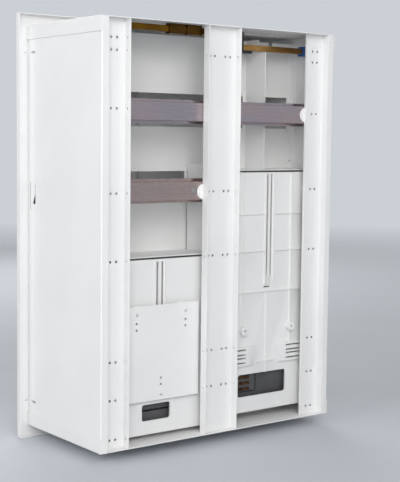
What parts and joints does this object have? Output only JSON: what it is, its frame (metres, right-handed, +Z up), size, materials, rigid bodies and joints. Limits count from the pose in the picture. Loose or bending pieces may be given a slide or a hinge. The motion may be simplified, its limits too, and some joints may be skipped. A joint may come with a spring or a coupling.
{
  "type": "flush-mount meter and distribution cabinet",
  "caption": "White sheet-steel wall-recess cabinet with a meter field, hat rails, cover plates, terminal bars, cable windows and a hinged door in an overhanging trim frame.",
  "frame": {"origin": "centre of the four wall fixing holes, on the rear faces of the uprights' webs", "axes": "+X to the right as seen from the front, +Y out of the back towards the wall, +Z up"},
  "size_m": [0.464, 0.2077, 0.634],
  "materials": {
    "powder_steel": "white powder coat, fine texture, satin",
    "powder_cover": "white powder coat, smooth, satin",
    "board_plastic": "white moulded plastic, satin",
    "zinc_rail": "zinc plated and passivated, faint mauve sheen",
    "zinc_screw": "zinc plated",
    "brass_bar": "drawn brass, slightly dull",
    "blue_plastic": "blue moulded plastic",
    "black_plastic": "black moulded plastic",
    "dark_plastic": "dark grey moulded plastic",
    "supply_metal": "tarnished copper alloy",
    "white_plastic": "white plastic",
    "chrome_latch": "nickel plated zinc casting"
  },
  "bodies": {
    "root": {"side_wall_right": "powder_steel", "side_wall_left": "powder_steel", "cap_top": "powder_steel", "cap_bottom": "powder_steel", "upright_right": "powder_steel", "upright_middle": "powder_steel", "upright_left": "powder_steel", "entry_plate_top": "powder_steel", "entry_plate_bottom": "powder_steel", "frame_side_right": "powder_steel", "frame_side_left": "powder_steel", "frame_top": "powder_steel", "frame_bottom": "powder_steel", "ledge_right": "powder_steel", "ledge_left": "powder_steel", "partition_middle": "powder_steel", "partition_switch": "powder_steel", "cover_support_right": "powder_steel", "cover_support_left": "powder_steel", "mounting_plate": "powder_steel", "cover_field": "powder_cover", "cover_switch": "powder_cover", "meter_board": "board_plastic", "terminal_board": "board_plastic", "board_spacers": "board_plastic", "plate_spacers": "board_plastic", "hood_left": "white_plastic", "hood_right": "white_plastic", "rail_upper": "zinc_rail", "rail_lower": "zinc_rail", "rail_screws": "zinc_screw", "board_screws": "zinc_screw", "plate_screws": "zinc_screw", "cover_fasteners": "zinc_screw", "entry_plate_screws": "zinc_screw", "frame_screws": "zinc_screw", "frame_brackets": "zinc_screw", "bar_screws": "zinc_screw", "hinge_pins": "zinc_screw", "hinge_bosses": "zinc_screw", "bar_neutral": "brass_bar", "bar_earth": "brass_bar", "neutral_clamps": "brass_bar", "earth_holder": "blue_plastic", "earth_clip": "black_plastic", "latch_strike": "black_plastic", "terminal_carrier_left": "dark_plastic", "terminal_carrier_right": "dark_plastic", "supply_terminal": "supply_metal"},
    "door": {"door_leaf": "powder_steel", "door_stiffener": "powder_steel", "hinge_bushes": "black_plastic", "latch_housing": "chrome_latch", "latch_nut": "zinc_screw"},
    "latch": {"latch_rotor": "chrome_latch", "latch_cam": "zinc_screw", "latch_screw": "zinc_screw"},
    "meter_hook": {"meter_hook": "white_plastic", "meter_hook_screw": "zinc_screw"}
  },
  "joints": [
    {"name": "door_swing", "type": "hinge", "parent": "root", "child": "door", "pos_m": [-0.1915, -0.1872, 0], "axis": [0, 0, -1], "range_deg": [0, 110]},
    {"name": "latch_turn", "type": "hinge", "parent": "door", "child": "latch", "pos_m": [0.172, -0.1872, 0.05], "axis": [0, -1, 0], "range_deg": [0, 90]},
    {"name": "hook_slide", "type": "slide", "parent": "root", "child": "meter_hook", "axis": [0, 0, 1], "range_m": [0, 0.155]}
  ]
}
